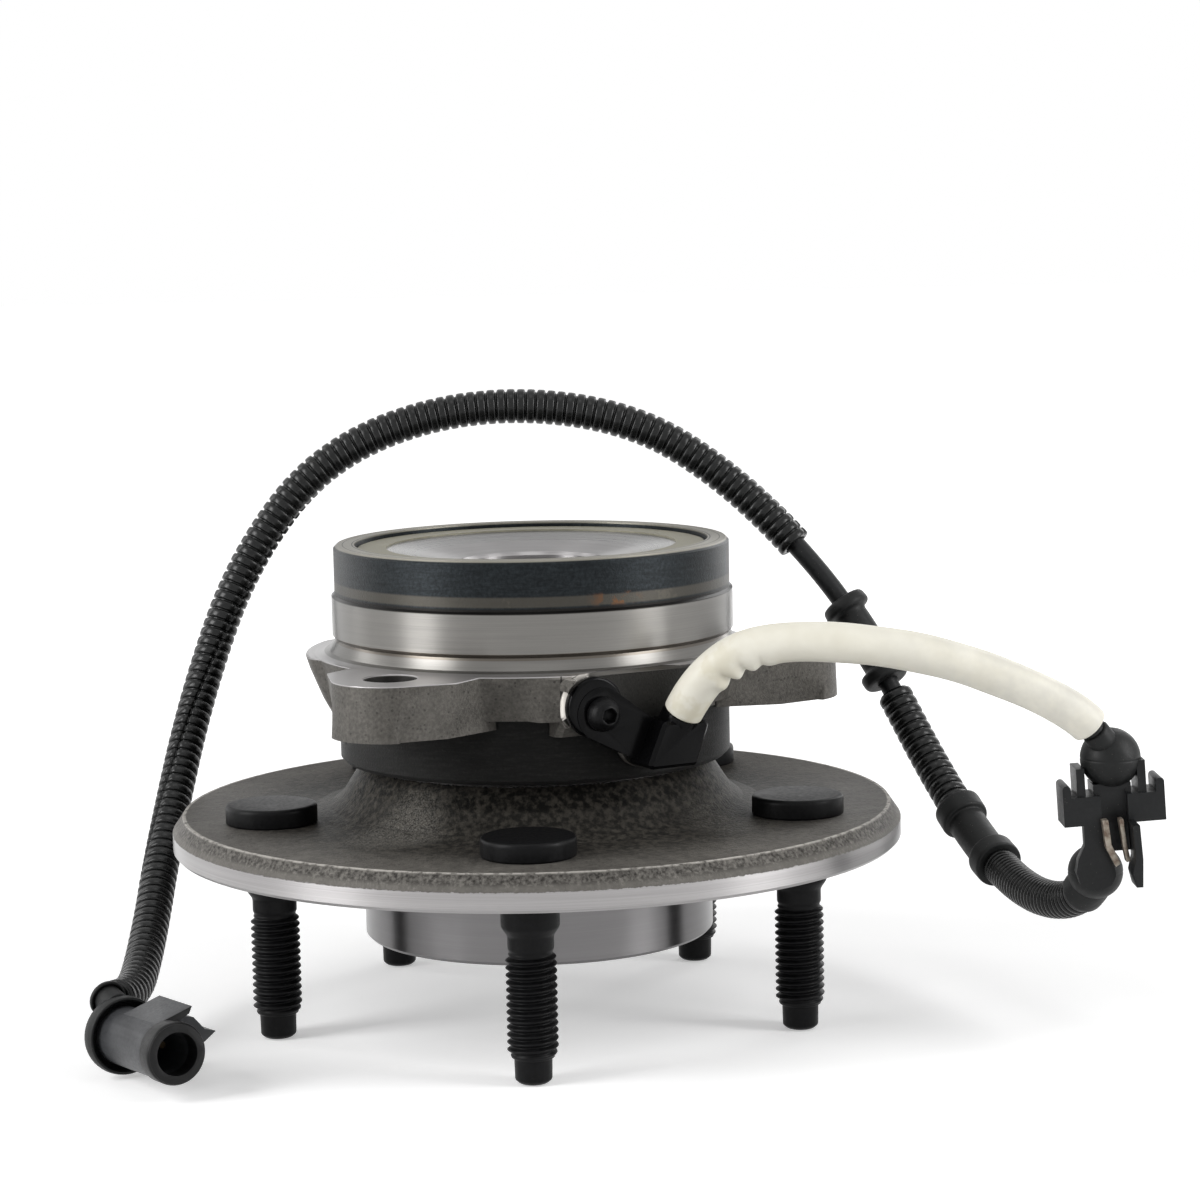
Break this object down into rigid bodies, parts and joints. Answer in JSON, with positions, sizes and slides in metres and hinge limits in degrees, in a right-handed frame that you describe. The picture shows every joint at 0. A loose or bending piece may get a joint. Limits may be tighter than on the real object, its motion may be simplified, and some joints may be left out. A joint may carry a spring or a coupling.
{
  "type": "wheel hub bearing",
  "caption": "Driven wheel hub unit: studded flange on tapered rollers in an eared bolt-on carrier, with a wheel speed sensor whose sleeved, conduit-covered cable ends in a plug.",
  "frame": {"origin": "on the hub axis at the flange's wheel-mounting face", "axes": "+Z along the hub axis towards the vehicle, through the knuckle pilot; +X towards the side that the sensor lead leaves to, close to one mounting ear; +Y completes the right-handed frame"},
  "size_m": [0.2565, 0.1812, 0.1527],
  "materials": {
    "forged_steel": "forged and part machined",
    "carrier_steel": "blued, forged and part machined",
    "bearing_steel": "ground",
    "black_steel": "black phosphate",
    "rusty_steel": "lightly rusted",
    "beige_shield": "matt coated",
    "magnet": "sintered",
    "black_rubber": "matt",
    "black_conduit": "satin",
    "black_plastic": "satin",
    "cream_sleeve": "satin, soiled",
    "brass_pins": "bright"
  },
  "bodies": {
    "carrier": {"carrier": "carrier_steel", "inboard_seal_lip": "black_rubber", "outboard_seal_case": "bearing_steel", "outboard_seal_lip": "black_rubber", "sensor_body": "black_plastic", "sensor_limiter": "rusty_steel", "sensor_screw": "black_steel", "sensor_o_ring": "black_rubber", "sensor_pole": "bearing_steel", "sensor_magnet": "magnet", "lead_cable": "black_rubber", "lead_sleeve": "cream_sleeve", "main_cable": "black_rubber", "lower_conduit": "black_conduit", "middle_conduit": "black_conduit", "upper_conduit": "black_conduit", "large_grommet": "black_rubber", "small_grommet": "black_rubber", "clip_body": "black_plastic", "clip_spring": "rusty_steel", "clip_upper_boot": "black_rubber", "clip_lower_boot": "black_rubber", "connector_boot": "black_rubber", "connector_housing": "black_plastic", "connector_pins": "brass_pins"},
    "hub": {"wheel_hub": "forged_steel", "wheel_studs": "black_steel", "outboard_cone": "bearing_steel", "inboard_cone": "bearing_steel", "tone_ring": "bearing_steel", "inboard_shield": "beige_shield"},
    "outboard_cage": {"outboard_cage": "bearing_steel", "outboard_rollers": "bearing_steel"},
    "inboard_cage": {"inboard_cage": "bearing_steel", "inboard_rollers": "bearing_steel"}
  },
  "joints": [
    {"name": "hub_spin", "type": "hinge", "parent": "carrier", "child": "hub", "pos_m": [0, 0, 0], "axis": [0, 0, 1], "continuous": true},
    {"name": "outboard_cage_spin", "type": "hinge", "parent": "carrier", "child": "outboard_cage", "pos_m": [0, 0, 0.0453], "axis": [0, 0, 1], "continuous": true},
    {"name": "inboard_cage_spin", "type": "hinge", "parent": "carrier", "child": "inboard_cage", "pos_m": [0, 0, 0.0611], "axis": [0, 0, 1], "continuous": true}
  ],
  "couplings": [
    {"joint": "outboard_cage_spin", "follows": "hub_spin", "ratio": 0.442},
    {"joint": "inboard_cage_spin", "follows": "hub_spin", "ratio": 0.442}
  ]
}
